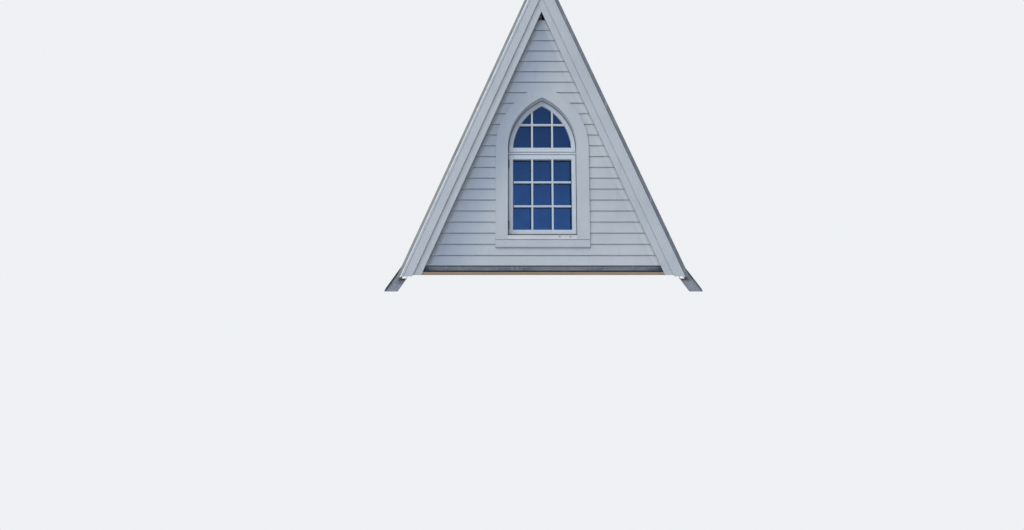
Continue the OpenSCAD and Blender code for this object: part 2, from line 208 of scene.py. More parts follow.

# Sheet metal, with a lighter copy for the left verge as painted light and a darker one for the right as
# painted shade
roof_metal = ((0.10, 0.12, 0.15), (0.17, 0.19, 0.22))
lit_verge_metal = ((0.135, 0.146, 0.150), (0.23, 0.232, 0.22))
shaded_verge_metal = ((0.077, 0.091, 0.112), (0.131, 0.144, 0.164))
lit_rim = (0.56, 0.61, 0.67)
shaded_rim = (0.075, 0.09, 0.11)
metal_run_off = (0.29, 0.31, 0.33)
metal_tarnish = (0.075, 0.085, 0.10)

# Glass, with the tints of its reflection at the casement's foot and in the top light
glass_tones = ((0.004, 0.012, 0.040), (0.008, 0.022, 0.060))
reflection_tints = ((0.105, 0.28, 0.78), (0.058, 0.145, 0.40))
reflection_cloud = (0.03, 0.09, 0.22)
# Painted shade in the glass's reflection beside the bars
bar_shade_colour = (0.01, 0.02, 0.03)

# Felt and iron
felt_tones = ((0.020, 0.021, 0.023), (0.045, 0.046, 0.048))
faded_felt = (0.080, 0.080, 0.078)
iron_black = (0.030, 0.032, 0.036)
iron_rust = (0.10, 0.055, 0.03)

# Studio
floor_z = -8.9
floor_half = 60
floor_tones = ((0.76, 0.77, 0.78), (0.80, 0.81, 0.82))
room_light = (0.62, 0.79, 1.0)
room_strength = 0.15
backdrop = (0.86, 0.88, 0.91)
camera_place = (-0.377, -20.092, -6.804)
camera_tilt = math.radians(109)
camera_lens = 61.085
camera_reach = 200


class NodeSheet:
    """A node tree that is written one node at a time."""

    def __init__(self, tree):
        self.tree = tree

    def add(self, kind, inputs=None, **settings):
        made = self.tree.nodes.new(kind)
        for name, value in settings.items():
            setattr(made, name, value)
        for socket, value in (inputs or {}).items():
            self.feed(made.inputs[socket], value)
        return made

    def feed(self, socket, value):
        if isinstance(value, bpy.types.NodeSocket):
            self.tree.links.new(value, socket)
        else:
            socket.default_value = value

    def math(self, operation, first, second=0.0, third=0.0):
        inputs = {0: first, 1: second, 2: third}
        return self.add("ShaderNodeMath", inputs, operation=operation).outputs[0]

    def plus(self, first, second):
        return self.math("ADD", first, second)

    def minus(self, first, second):
        return self.math("SUBTRACT", first, second)

    def times(self, first, second):
        return self.math("MULTIPLY", first, second)

    def over(self, first, second):
        return self.math("DIVIDE", first, second)

    def greater(self, first, second):
        return self.math("GREATER_THAN", first, second)

    def split(self, vector):
        return self.add("ShaderNodeSeparateXYZ", {0: vector}).outputs

    def join(self, x=0.0, y=0.0, z=0.0):
        return self.add("ShaderNodeCombineXYZ", {0: x, 1: y, 2: z}).outputs[0]


class Finish(NodeSheet):
    """A material made of nodes, on Object coordinates."""

    def __init__(self, name, **sockets):
        self.material = bpy.data.materials.new(name)
        self.material.use_nodes = True
        super().__init__(self.material.node_tree)
        self.shader = self.tree.nodes["Principled BSDF"]
        for socket, value in sockets.items():
            self.shader.inputs[socket.replace("_", " ")].default_value = value
        self.place = self.add("ShaderNodeTexCoord").outputs["Object"]

    def turned(self, scale, turn=level):
        inputs = {"Vector": self.place, "Rotation": turn, "Scale": scale}
        return self.add("ShaderNodeMapping", inputs).outputs[0]

    def noise(self, place, scale, detail=4.0, rough=0.55):
        inputs = {"Vector": place, "Scale": scale, "Detail": detail, "Roughness": rough}
        return self.add("ShaderNodeTexNoise", inputs).outputs[0]

    def stored(self, name):
        """A value that the laid pieces carry with them."""
        return self.add("ShaderNodeAttribute", attribute_name=name).outputs

    def between(self, value, low, high, out_low=0.0, out_high=1.0):
        """Eases from one output to the other as the value goes from low to high."""
        inputs = {0: value, 1: low, 2: high, 3: out_low, 4: out_high}
        return self.add("ShaderNodeMapRange", inputs, interpolation_type="SMOOTHSTEP").outputs[0]

    def steps(self, value, stops):
        """The colour of the last stop that the value has reached."""
        made = self.add("ShaderNodeValToRGB", {0: value})
        made.color_ramp.interpolation = "CONSTANT"
        points = made.color_ramp.elements
        while len(points) < len(stops):
            points.new(1.0)
        for point, (position, colour) in zip(points, stops):
            point.position = position
            point.color = (*colour, 1)
        return made.outputs[0]

    def blend(self, share, first, second):
        """The first colour, with this share of the second."""
        inputs = {0: share, 6: self.colour(first), 7: self.colour(second)}
        return self.add("ShaderNodeMix", inputs, data_type="RGBA").outputs[2]

    def colour(self, value):
        return value if isinstance(value, bpy.types.NodeSocket) else (*value, 1)

    def relief(self, height, depth, under=None):
        inputs = {"Height": height, "Distance": depth, "Strength": 1.0}
        if under is not None:
            inputs["Normal"] = under
        return self.add("ShaderNodeBump", inputs).outputs[0]

    def done(self, colour, roughness, normal):
        self.feed(self.shader.inputs["Base Color"], colour)
        self.feed(self.shader.inputs["Roughness"], roughness)
        self.feed(self.shader.inputs["Normal"], normal)
        return self.material


# Finishes


def brushed_paint(name, turn, tones):
    """The finish, colour, roughness and surface of paint brushed the way that a turn gives."""
    finish = Finish(name, IOR=1.45)
    strokes = finish.noise(finish.turned((2, 60, 60), turn), 6, 5)
    cloud = finish.noise(finish.place, 1.6, 5)
    streaks = finish.noise(finish.turned((14, 14, 0.9)), 1.5, 6, 0.62)
    paint = finish.blend(finish.between(cloud, 0.3, 0.7), *tones)
    greyed = finish.blend(finish.between(streaks, 0.55, 0.78, 0, 0.35), paint, rain_streak)
    specks = finish.between(finish.noise(finish.place, 180, 2), 0.70, 0.80, 0, 0.45)
    speckled = finish.blend(specks, greyed, paint_speck)
    roughness = finish.between(cloud, 0.2, 0.8, 0.42, 0.62)
    height = finish.plus(strokes, finish.times(cloud, 0.5))
    return finish, speckled, roughness, finish.relief(height, 0.6 * mm)


def white_paint(name, turn=level, tones=house_white):
    finish, colour, roughness, normal = brushed_paint(name, turn, tones)
    return finish.done(colour, roughness, normal)


def slope_depth(finish, side):
    """How deep a point lies under the top of a slope's roof boards."""
    across, _, height = finish.split(finish.place)
    fallen = finish.times(finish.minus(apex_z, height), math.cos(roof_pitch))
    return finish.math("MULTIPLY_ADD", across, -side * math.sin(roof_pitch), fallen)


def beside_eaves(finish, side, depths, most):
    """A share that rises from the first depth under a slope to the second, then fades to the third."""
    depth = slope_depth(finish, side)
    start, full, end = depths
    risen = finish.between(depth, start, full, 0, most)
    return finish.times(risen, finish.between(depth, full, end, 1, 0))


def eaves_shadow_and_light(finish, colour):
    """The colour with a bluish painted shadow by the left eaves and a painted light by the right ones."""
    left_shadow = beside_eaves(finish, -1, painted_shadow_depths, painted_shadow_share)
    right_light = beside_eaves(finish, 1, painted_light_depths, painted_light_share)
    return finish.blend(right_light, finish.blend(left_shadow, colour, eaves_shade), painted_light_white)


def casing_paint(name):
    # The casing takes the same painted shadow and painted light by the eaves as the clapboards
    finish, colour, roughness, normal = brushed_paint(name, upright, house_white)
    return finish.done(eaves_shadow_and_light(finish, colour), roughness, normal)


def lapped_board_paint(name):
    """White paint with grime and painted shade at the top of each course, under the lip of the board above.
    """
    finish, colour, roughness, normal = brushed_paint(name, level, house_white)
    over_foot = finish.minus(finish.split(finish.place)[2], clap_foot_z)
    course = finish.math("FRACT", finish.over(over_foot, clap_exposure))
    share = finish.between(course, 0.90, 1.0, 0, 0.62)
    grimed_and_shaded = finish.blend(share, eaves_shadow_and_light(finish, colour), lap_grime_and_shade)
    return finish.done(grimed_and_shaded, roughness, normal)


def sill_paint(name):
    """Whiter paint with dirt and painted shade on the slope, darkest by the sash, and two stains on the
    nosing.
    """
    finish, colour, roughness, normal = brushed_paint(name, level, sill_white)
    ragged = finish.times(finish.noise(finish.place, 60, 4), stain_r)
    nosing_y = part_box("window_sill")[0].y
    for spot in sill_stains:
        way = finish.add("ShaderNodeVectorMath", {0: finish.place, 1: spot}, operation="DISTANCE")
        away = finish.plus(way.outputs["Value"], ragged)
        colour = finish.blend(finish.between(away, stain_r, 1.6 * stain_r, 0.7, 0), colour, nosing_stain)
    depth = finish.split(finish.place)[1]
    dirtied_and_shaded = finish.blend(finish.between(depth, nosing_y, sash_face_y, 0, 0.9), colour, sill_dirt_and_shade)
    return finish.done(dirtied_and_shaded, roughness, normal)


def sawn_timber(name, turn=level):
    """Bare sawn softwood with its grain the way that a turn gives."""
    finish = Finish(name, IOR=1.45)
    grain = finish.noise(finish.turned((1.2, 40, 40), turn), 2.2, 8, 0.62)
    broad = finish.noise(finish.turned((0.5, 9, 9), turn), 1.7, 4)
    knots = finish.noise(finish.turned((2.5, 7, 7), turn), 1.6, 2)
    wood = finish.blend(finish.between(grain, 0.3, 0.7), early_wood, late_wood)
    own = finish.blend(finish.times(finish.stored("board_shade")["Fac"], 0.35), wood, pale_board)
    aged = finish.blend(finish.between(broad, 0.35, 0.75, 0, 0.6), own, aged_wood)
    knotted = finish.blend(finish.between(knots, 0.70, 0.76, 0, 0.8), aged, knot_brown)
    _, depth, height = finish.split(finish.place)
    at_apex = finish.greater(height, open_apex_z)
    greyed = finish.times(at_apex, finish.between(depth, 0, open_apex_depth, 0.95, 0))
    apex_toned = finish.blend(greyed, knotted, apex_grey)
    roughness = finish.between(broad, 0.2, 0.8, 0.65, 0.85)
    return finish.done(apex_toned, roughness, finish.relief(grain, 1.2 * mm))


def natural_slate(name):
    """Riven slate; each slate has a stone of its own, with grime and a painted shadow just below the tail
    of the course over it.
    """
    finish = Finish(name, IOR=1.5)
    stone = finish.steps(finish.stored("slate_shade")["Fac"], slate_stones)
    cloud = finish.noise(finish.place, 7, 6, 0.62)
    stained = finish.blend(finish.between(cloud, 0.35, 0.75, 0, 0.5), stone, slate_stain)
    grit = finish.noise(finish.place, 95, 3, 0.6)
    flecked = finish.blend(finish.between(grit, 0.56, 0.68, 0, 0.5), stained, slate_fleck)
    bloom = finish.noise(finish.place, 23, 6, 0.66)
    bloomed = finish.blend(finish.between(bloom, 0.58, 0.72, 0, 0.6), flecked, slate_bloom)
    above_tail = height_above_tail(finish)
    grimed_and_shaded = finish.blend(finish.between(above_tail, -tail_grime_and_shadow_w, 0, 0, 0.92), bloomed, slate_tail_grime_and_shadow)
    riven = finish.noise(finish.turned((1, 1, 1)), 14, 9, 0.6)
    normal = finish.relief(grit, 0.5 * mm, finish.relief(riven, 3.5 * mm))
    return finish.done(grimed_and_shaded, finish.between(cloud, 0.2, 0.8, 0.6, 0.8), normal)


def height_above_tail(finish):
    """How far a point of a slate lies above the tail of the course over it."""
    across, up, _ = finish.split(finish.stored("slate_spot")["Vector"])
    near = finish.minus(finish.math("ABSOLUTE", across), slate_w / 2)
    arc = finish.math("SQRT", finish.minus(tail_radius**2, finish.times(near, near)))
    return finish.minus(finish.plus(up, arc), slate_exposure + tail_radius)


def weathered_metal(name, tones=roof_metal, edge=None):
    """Dull sheet metal with run-off marks; an edge is the side of a verge and the colour of its rim,
    painted highlight on the left verge and painted shade on the right.
    """
    finish = Finish(name, Metallic=0.55)
    cloud = finish.noise(finish.place, 3.5, 6, 0.6)
    runs = finish.noise(finish.turned((22, 22, 2)), 1.4, 6, 0.6)
    spangle = finish.noise(finish.place, 60, 3)
    sheet = finish.blend(finish.between(cloud, 0.3, 0.7), *tones)
    marked = finish.blend(finish.between(runs, 0.52, 0.74, 0, 0.55), sheet, metal_run_off)
    dulled = finish.blend(finish.between(spangle, 0.58, 0.75, 0, 0.4), marked, metal_tarnish)
    if edge:
        side, rim = edge
        depth = slope_depth(finish, side)
        on_rim = finish.between(depth, verge_rim_depth - verge_rim_blur, verge_rim_depth, 0, 0.95)
        painted_rim = finish.blend(finish.between(runs, 0.4, 0.7, 0, 0.4), rim, tones[1])
        dulled = finish.blend(on_rim, dulled, painted_rim)
    dents = finish.noise(finish.place, 4, 3)
    roughness = finish.between(cloud, 0.2, 0.8, 0.42, 0.66)
    return finish.done(dulled, roughness, finish.relief(dents, 5 * mm))


def beside(finish, place, line):
    """A share of painted shade, one close before a line of bars, fading to nothing away from it."""
    gap = finish.minus(line, place)
    near = finish.between(gap, bar_w / 2, bar_w / 2 + bar_shade_w, 1, 0)
    return finish.times(near, finish.greater(gap, 0.0))


def bar_shade_marks(finish):
    """Painted shade under each rail and on the left of each upright."""
    across, _, height = finish.split(finish.place)
    marks = [beside(finish, height, line) for line in (*casement_bar_z, casement_head, top_light_bar_z)]
    marks += [beside(finish, across, line) for line in (-bar_x, bar_x, glazing_half)]
    bar_shade = marks[0]
    for mark in marks[1:]:
        bar_shade = finish.math("MAXIMUM", bar_shade, mark)
    return bar_shade


def window_glass(name):
    """Old drawn glass, slightly wavy, with painted shade in its reflection along the bars, and its
    reflection tinted blue and dimmer in the top light.
    """
    finish = Finish(name, IOR=2.0, Transmission_Weight=0.4, Specular_IOR_Level=1.0)
    waves = finish.noise(finish.turned((3, 3, 1.4)), 2.6, 3)
    film = finish.noise(finish.place, 5, 6, 0.6)
    height = finish.split(finish.place)[2]
    tint = finish.blend(finish.between(height, casement_foot, top_light_bar_z), *reflection_tints)
    clouded = finish.blend(finish.between(film, 0.35, 0.75, 0, 0.45), tint, reflection_cloud)
    dimmed = finish.blend(bar_shade_marks(finish), clouded, bar_shade_colour)
    finish.feed(finish.shader.inputs["Specular Tint"], dimmed)
    colour = finish.blend(finish.between(film, 0.3, 0.75), *glass_tones)
    roughness = finish.between(film, 0.3, 0.8, 0.02, 0.09)
    return finish.done(colour, roughness, finish.relief(waves, 2.5 * mm))


def building_felt(name):
    """Black felt, faded and wrinkled."""
    finish = Finish(name)
    cloud = finish.noise(finish.place, 3, 6, 0.6)
    wrinkles = finish.noise(finish.turned((1, 1, 4)), 5, 5)
    grit = finish.noise(finish.place, 320, 2)
    felt = finish.blend(finish.between(cloud, 0.3, 0.7), *felt_tones)
    faded = finish.blend(finish.between(wrinkles, 0.5, 0.75, 0, 0.6), felt, faded_felt)
    normal = finish.relief(grit, 0.4 * mm, finish.relief(wrinkles, 4 * mm))
    return finish.done(faded, finish.between(cloud, 0.2, 0.8, 0.75, 0.95), normal)


def forged_iron(name):
    """Dark hinge iron with rust in the low places."""
    finish = Finish(name, Metallic=0.7)
    cloud = finish.noise(finish.place, 40, 6, 0.65)
    grain = finish.noise(finish.place, 260, 3)
    colour = finish.blend(finish.between(cloud, 0.45, 0.7), iron_black, iron_rust)
    roughness = finish.between(cloud, 0.2, 0.8, 0.45, 0.8)
    return finish.done(colour, roughness, finish.relief(grain, 0.4 * mm))


# Trees of nodes that lay what repeats


class LayingTree(NodeSheet):
    """A Geometry Nodes tree with named inputs."""

    kinds = {
        "count": "NodeSocketInt", "length": "NodeSocketFloat", "way": "NodeSocketVector",
        "object": "NodeSocketObject", "finish": "NodeSocketMaterial",
    }

    def __init__(self, name, **inputs):
        super().__init__(bpy.data.node_groups.new(name, "GeometryNodeTree"))
        self.tree.interface.new_socket("Geometry", in_out="OUTPUT", socket_type="NodeSocketGeometry")
        for name, kind in inputs.items():
            self.tree.interface.new_socket(name, in_out="INPUT", socket_type=self.kinds[kind])
        self.given = self.add("NodeGroupInput").outputs

    def at(self, laid, place, turn):
        turned = self.add("FunctionNodeEulerToRotation", {0: turn}).outputs[0]
        inputs = {"Geometry": laid, "Translation": place, "Rotation": turned}
        return self.add("GeometryNodeTransform", inputs).outputs[0]

    def welded(self, geometry, gap):
        inputs = {"Geometry": geometry, "Distance": gap}
        return self.add("GeometryNodeMergeByDistance", inputs).outputs[0]

    def real(self, instances):
        return self.add("GeometryNodeRealizeInstances", {"Geometry": instances}).outputs[0]

    def gather(self, kind, socket, *geometries, **settings):
        """What a node makes of several geometries that go into one of its sockets."""
        made = self.add(kind, **settings)
        for geometry in geometries:
            self.feed(made.inputs[socket], geometry)
        return made.outputs[0]

    def store(self, geometry, name, value, data_type, domain):
        """Lets the geometry carry a value that its finish reads by name."""
        inputs = {"Geometry": geometry, "Name": name, "Value": value}
        settings = {"data_type": data_type, "domain": domain}
        return self.add("GeometryNodeStoreNamedAttribute", inputs, **settings).outputs[0]

    def shaded(self, loose, name):
        """Gives each loose piece a random value of its own."""
        piece = self.add("GeometryNodeInputMeshIsland").outputs["Island Index"]
        inputs = {"Seed": self.given["seed"], "ID": piece}
        value = self.add("FunctionNodeRandomValue", inputs, data_type="FLOAT").outputs[1]
        return self.store(loose, name, value, "FLOAT", "FACE")

    def finished(self, laid, shade_name):
        """Trims what is laid to the outline, then ends the tree."""
        outline = self.add("GeometryNodeObjectInfo", {"Object": self.given["outline"]}).outputs["Geometry"]
        solid = self.welded(outline, outline_weld_gap)
        loose = self.shaded(self.real(laid), shade_name)
        settings = {"operation": "INTERSECT", "solver": "MANIFOLD"}
        trimmed = self.gather("GeometryNodeMeshBoolean", 1, loose, solid, **settings)
        inputs = {"Geometry": self.real(trimmed), "Material": self.given["finish"]}
        painted = self.add("GeometryNodeSetMaterial", inputs).outputs[0]
        self.add("NodeGroupOutput", {0: painted})
        return self.tree


def board_tree():
    """Boards one above another, each leaning back by its lean."""
    laying = LayingTree(
        "board courses", courses="count", exposure="length", board_width="length", board_thickness="length",
        run="length", lean="way", start="way", turn="way", outline="object", finish="finish", seed="count",
    )
    given = laying.given
    size = laying.join(given["run"], given["board_width"], given["board_thickness"])
    board = laying.add("GeometryNodeMeshCube", {"Size": size}).outputs[0]
    half_w = laying.times(given["board_width"], 0.5)
    half_t = laying.times(given["board_thickness"], 0.5)
    footing = laying.join(0.0, half_w, half_t)
    footed = laying.add("GeometryNodeTransform", {"Geometry": board, "Translation": footing}).outputs[0]
    leaning = laying.at(footed, (0, 0, 0), given["lean"])
    inputs = {"Count": given["courses"], "Offset": laying.join(0.0, given["exposure"])}
    line = laying.add("GeometryNodeMeshLine", inputs, mode="OFFSET").outputs[0]
    laid = laying.add("GeometryNodeInstanceOnPoints", {"Points": line, "Instance": leaning}).outputs[0]
    return laying.finished(laying.at(laid, given["start"], given["turn"]), "board_shade")


def slate_tree():
    """Round-tailed slates in courses, each course moved on by half a slate."""
    laying = LayingTree(
        "slate courses", courses="count", per_course="count", exposure="length", slate_width="length",
        slate_length="length", slate_thickness="length", side_gap="length", tail_radius="length",
        tail_angle="length", lean="length", start="way", turn="way", outline="object", finish="finish",
        seed="count",
    )
    slate = round_tailed_slate(laying)
    inputs = {"Points": slate_places(laying), "Instance": slate, "Rotation": slate_lie(laying)}
    laid = laying.add("GeometryNodeInstanceOnPoints", inputs).outputs[0]
    return laying.finished(laying.at(laid, laying.given["start"], laying.given["turn"]), "slate_shade")


def round_tailed_slate(laying):
    """One slate lying flat, which remembers where each point of it is."""
    given = laying.given
    inputs = {"Size X": 2.0, "Size Y": 2.0, "Vertices X": slate_arc_cuts + 1, "Vertices Y": 2}
    sheet = laying.add("GeometryNodeMeshGrid", inputs).outputs[0]
    across, up, _ = laying.split(laying.add("GeometryNodeInputPosition").outputs[0])
    angle = laying.times(across, given["tail_angle"])
    room = laying.minus(given["slate_width"], given["side_gap"])
    share = laying.over(room, given["slate_width"])
    arc_x = laying.times(given["tail_radius"], laying.math("SINE", angle))
    drop = laying.minus(1.0, laying.math("COSINE", angle))
    tail_y = laying.times(given["tail_radius"], drop)
    head = laying.greater(up, 0.0)
    head_y = laying.times(head, laying.minus(given["slate_length"], tail_y))
    spot = laying.join(laying.times(arc_x, share), laying.plus(tail_y, head_y))
    shaped = laying.add("GeometryNodeSetPosition", {"Geometry": sheet, "Position": spot}).outputs[0]
    here = laying.add("GeometryNodeInputPosition").outputs[0]
    marked = laying.store(shaped, "slate_spot", here, "FLOAT_VECTOR", "CORNER")
    inputs = {
        "Mesh": marked, "Offset": (0, 0, 1), "Offset Scale": given["slate_thickness"], "Individual": False,
    }
    raised = laying.add("GeometryNodeExtrudeMesh", inputs).outputs[0]
    under = laying.add("GeometryNodeFlipFaces", {"Mesh": marked}).outputs[0]
    return laying.welded(laying.gather("GeometryNodeJoinGeometry", 0, raised, under), slate_weld_gap)


def slate_places(laying):
    """A point for each slate."""
    given = laying.given
    count = laying.times(given["courses"], given["per_course"])
    line = laying.add("GeometryNodeMeshLine", {"Count": count}).outputs[0]
    index = laying.add("GeometryNodeInputIndex").outputs[0]
    row = laying.math("FLOOR", laying.over(laying.plus(index, 0.5), given["per_course"]))
    column = laying.minus(index, laying.times(row, given["per_course"]))
    shift = laying.times(laying.math("MODULO", row, 2.0), 0.5)
    place_x = laying.times(laying.plus(column, shift), given["slate_width"])
    place_y = laying.times(row, given["exposure"])
    inputs = {"Geometry": line, "Position": laying.join(place_x, place_y)}
    return laying.add("GeometryNodeSetPosition", inputs).outputs[0]


def slate_lie(laying):
    """The turn of each slate: its lean over the course below, and a little unevenness."""
    most = (slate_tip, 0, slate_twist)
    least = (-slate_tip, 0, -slate_twist)
    inputs = {0: least, 1: most, "Seed": laying.given["seed"]}
    unevenness = laying.add("FunctionNodeRandomValue", inputs, data_type="FLOAT_VECTOR").outputs[0]
    leaning = laying.join(laying.times(laying.given["lean"], -1.0))
    euler = laying.add("ShaderNodeVectorMath", {0: leaning, 1: unevenness}, operation="ADD").outputs[0]
    return laying.add("FunctionNodeEulerToRotation", {0: euler}).outputs[0]


# Making pieces


def placed(name, data):
    """A new object in the scene."""
    made = bpy.data.objects.new(name, data)
    bpy.context.scene.collection.objects.link(made)
    return made


def as_piece(name, work, finish):
    """A worked mesh as an object with one finish."""
    mesh = bpy.data.meshes.new(name)
    work.to_mesh(mesh)
    work.free()
    mesh.materials.append(finish)
    return placed(name, mesh)


def fit(piece, slot, *replaced):
    """Puts a finished piece on the dormer in place of these nodes."""
    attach(piece, "root")
    if replaced:
        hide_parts(*replaced)
    return piece


def lay(tree, name, **sizes):
    """Runs a laying tree with these inputs and returns the plain mesh object."""
    bed = placed(name + "_bed", bpy.data.meshes.new(name + "_bed"))
    modifier = bed.modifiers.new("courses", "NODES")
    modifier.node_group = tree
    for socket in tree.interface.items_tree:
        if socket.in_out == "INPUT":
            modifier[socket.identifier] = sizes[socket.name]
    bpy.context.view_layer.update()
    evaluated = bed.evaluated_get(bpy.context.evaluated_depsgraph_get())
    laid = bpy.data.meshes.new_from_object(evaluated)
    bpy.data.objects.remove(bed)
    laid.name = name
    return placed(name, laid)


def merged(work):
    """Merges a mesh's doubled corners and its flat faces."""
    bmesh.ops.remove_doubles(work, verts=work.verts, dist=weld_gap)
    bmesh.ops.dissolve_limit(work, angle_limit=flat_angle, verts=work.verts, edges=work.edges)


def seams(work):
    """The faces where two pieces lie against each other."""
    places = {}
    for face in work.faces:
        centre = face.calc_center_median()
        places.setdefault(tuple(round(part / mm, 1) for part in centre), []).append(face)
    return [face for faces in places.values() if len(faces) > 1 for face in faces]


def clean_copy(source):
    """A copy of a node's mesh, without doubled corners and split flat faces."""
    work = bmesh.new()
    work.from_mesh(nodes[source].data)
    merged(work)
    mesh = bpy.data.meshes.new(source + "_copy")
    work.to_mesh(mesh)
    work.free()
    return mesh


def eased(name, finish, edge, *sources):
    """A copy of one or more nodes as a single piece with planed edges."""
    work = bmesh.new()
    for source in sources:
        part = clean_copy(source)
        work.from_mesh(part)
        bpy.data.meshes.remove(part)
    bmesh.ops.delete(work, geom=seams(work), context="FACES_ONLY")
    merged(work)
    for face in work.faces:
        face.smooth = True
    piece = as_piece(name, work, finish)
    bevel = piece.modifiers.new("planed edge", "BEVEL")
    bevel.width = edge
    bevel.segments = edge_cuts
    bevel.limit_method = "ANGLE"
    bevel.angle_limit = sharp_angle
    evened = piece.modifiers.new("even shading", "WEIGHTED_NORMAL")
    evened.weight = large_face_weight
    return piece


def strip(name, section, path, closed, finish):
    """A section carried along a path in the gable's plane.

    A section point is its distance to the left of the path and its y; a path point is x and z.
    """
    count = len(path)
    points = [Vector(point) for point in path]
    work = bmesh.new()
    rings = []
    for number, point in enumerate(points):
        at_start = not closed and number == 0
        at_end = not closed and number == count - 1
        before = point - (points[1] - point) if at_start else points[number - 1]
        after = point + (point - points[-2]) if at_end else points[(number + 1) % count]
        way_in = (point - before).normalized()
        way_out = (after - point).normalized()
        mitre = (way_in + way_out).normalized()
        left = Vector((-mitre.y, mitre.x)) / mitre.dot(way_out)
        rings.append([work.verts.new((point.x + left.x * s, y, point.y + left.y * s)) for s, y in section])
    for number in range(count if closed else count - 1):
        first = rings[number]
        second = rings[(number + 1) % count]
        for corner in range(len(section)):
            other = (corner + 1) % len(section)
            work.faces.new((first[corner], first[other], second[other], second[corner]))
    if not closed:
        work.faces.new(rings[0])
        work.faces.new(rings[-1])
    bmesh.ops.recalc_face_normals(work, faces=work.faces)
    return as_piece(name, work, finish)


def joined(name, parts):
    """Several pieces as one."""
    work = bmesh.new()
    for part in parts:
        work.from_mesh(part.data)
    finish = parts[0].data.materials[0]
    for part in parts:
        bpy.data.objects.remove(part)
    return as_piece(name, work, finish)


def slope_turn(side):
    """The turn that puts X along the ridge, Y up the slope and Z outwards."""
    outward = Vector((side * math.sin(roof_pitch), 0, math.cos(roof_pitch)))
    upward = Vector((-side * math.cos(roof_pitch), 0, math.sin(roof_pitch)))
    along = upward.cross(outward)
    return Matrix((along, upward, outward)).transposed().to_euler()


def on_slope(side, down, out, y):
    """The point that lies so far down a slope from the ridge and so far out of its boards."""
    x = side * (down * math.cos(roof_pitch) + out * math.sin(roof_pitch))
    return Vector((x, y, apex_z - down * math.sin(roof_pitch) + out * math.cos(roof_pitch)))


# Pieces of the dormer


def lay_slates(side, hand, finish):
    """Courses from the foot of a slope to past its ridge, with slates to spare at both ends."""
    slope_l = (apex_z - roof_low_z) / math.sin(roof_pitch)
    courses = math.ceil(slope_l / slate_exposure) + 1
    per_course = math.ceil((roof_back_y - roof_front_y) / slate_w) + 2
    first_y = roof_front_y if side > 0 else roof_back_y
    start = on_slope(side, slope_l, slate_stack - slate_t, first_y)
    piece = lay(
        slates, "slates_" + hand + "_laid", courses=courses, per_course=per_course, exposure=slate_exposure,
        slate_width=slate_w, slate_length=slate_l, slate_thickness=slate_t, side_gap=slate_gap,
        tail_radius=tail_radius, tail_angle=tail_angle, lean=math.atan(slate_lean / slate_exposure),
        start=start, turn=slope_turn(side), outline=nodes["slates_" + hand], finish=finish, seed=7,
    )
    return fit(piece, "slate", "slates_" + hand)


def lay_clapboards(finish):
    """Lapped boards; the lowest is cut narrower than the others."""
    low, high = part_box("gable_cladding")
    courses = math.ceil((high.z - clap_foot_z) / clap_exposure)
    lean = math.atan(clap_step / clap_exposure)
    start = (0, low.y + clap_t + 2 * board_play, clap_foot_z)
    piece = lay(
        boards, "clapboards", courses=courses, exposure=clap_exposure, board_width=clap_w,
        board_thickness=clap_t, run=2 * high.x, lean=(-lean, 0, 0), start=start, turn=wall_turn,
        outline=nodes["gable_cladding"], finish=finish, seed=3,
    )
    return fit(piece, "white_timber", "gable_cladding")


def lay_sheathing(finish):
    low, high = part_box("gable_sheathing")
    courses = math.ceil((high.z - low.z) / plank_w)
    thickness = high.y - low.y - 2 * board_play
    start = (0, high.y - board_play, low.z)
    piece = lay(
        boards, "sheathing_planks", courses=courses, exposure=plank_w, board_width=plank_w - plank_gap,
        board_thickness=thickness, run=2 * high.x, lean=(0, 0, 0), start=start, turn=wall_turn,
        outline=nodes["gable_sheathing"], finish=finish, seed=4,
    )
    return fit(piece, "bare_timber", "gable_sheathing")


def lay_roof_boards(side, hand, finish):
    low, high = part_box("roof_boards_" + hand)
    slope_l = (high.z - low.z) / math.sin(roof_pitch)
    courses = math.ceil(slope_l / plank_w) + 1
    run = high.y - low.y + 2 * board_overrun
    start = on_slope(side, slope_l, board_play - roof_board_t, (low.y + high.y) / 2)
    piece = lay(
        boards, "roof_planks_" + hand, courses=courses, exposure=plank_w, board_width=plank_w - plank_gap,
        board_thickness=roof_board_t - 2 * board_play, run=run, lean=(0, 0, 0), start=start,
        turn=slope_turn(side), outline=nodes["roof_boards_" + hand], finish=finish, seed=5,
    )
    return fit(piece, "bare_timber", "roof_boards_" + hand)


def lancet(half, foot, cuts=20):
    """The outline of a pointed light, from its foot's left corner round to its left side."""
    radius = half + arc_shift
    top = math.acos(arc_shift / radius)
    low = max(0.0, math.asin(max(0.0, foot - spring_z) / radius))
    angles = [low + (top - low) * number / cuts for number in range(cuts + 1)]
    right = [(radius * math.cos(a) - arc_shift, spring_z + radius * math.sin(a)) for a in angles]
    left = [(-x, z) for x, z in reversed(right[:-1])]
    corners = [] if foot > spring_z else [(-half, foot), (half, foot)]
    return corners + right + left


def arch_height(half, x):
    """The height of a lancet's edge at a distance from its middle."""
    radius = half + arc_shift
    return spring_z + math.sqrt(radius**2 - (abs(x) + arc_shift) ** 2)


def arch_half(half, z):
    """A lancet's half width at a height above its springing."""
    radius = half + arc_shift
    return math.sqrt(radius**2 - (z - spring_z) ** 2) - arc_shift


def putty_section():
    """A fillet of putty, as points in from the rebate's edge and in depth."""
    return [
        (0, sash_face_y + putty_setback), (0, glass_face_y), (putty_w, glass_face_y),
        (putty_w - putty_bevel_w, glass_face_y - putty_bevel_d),
    ]


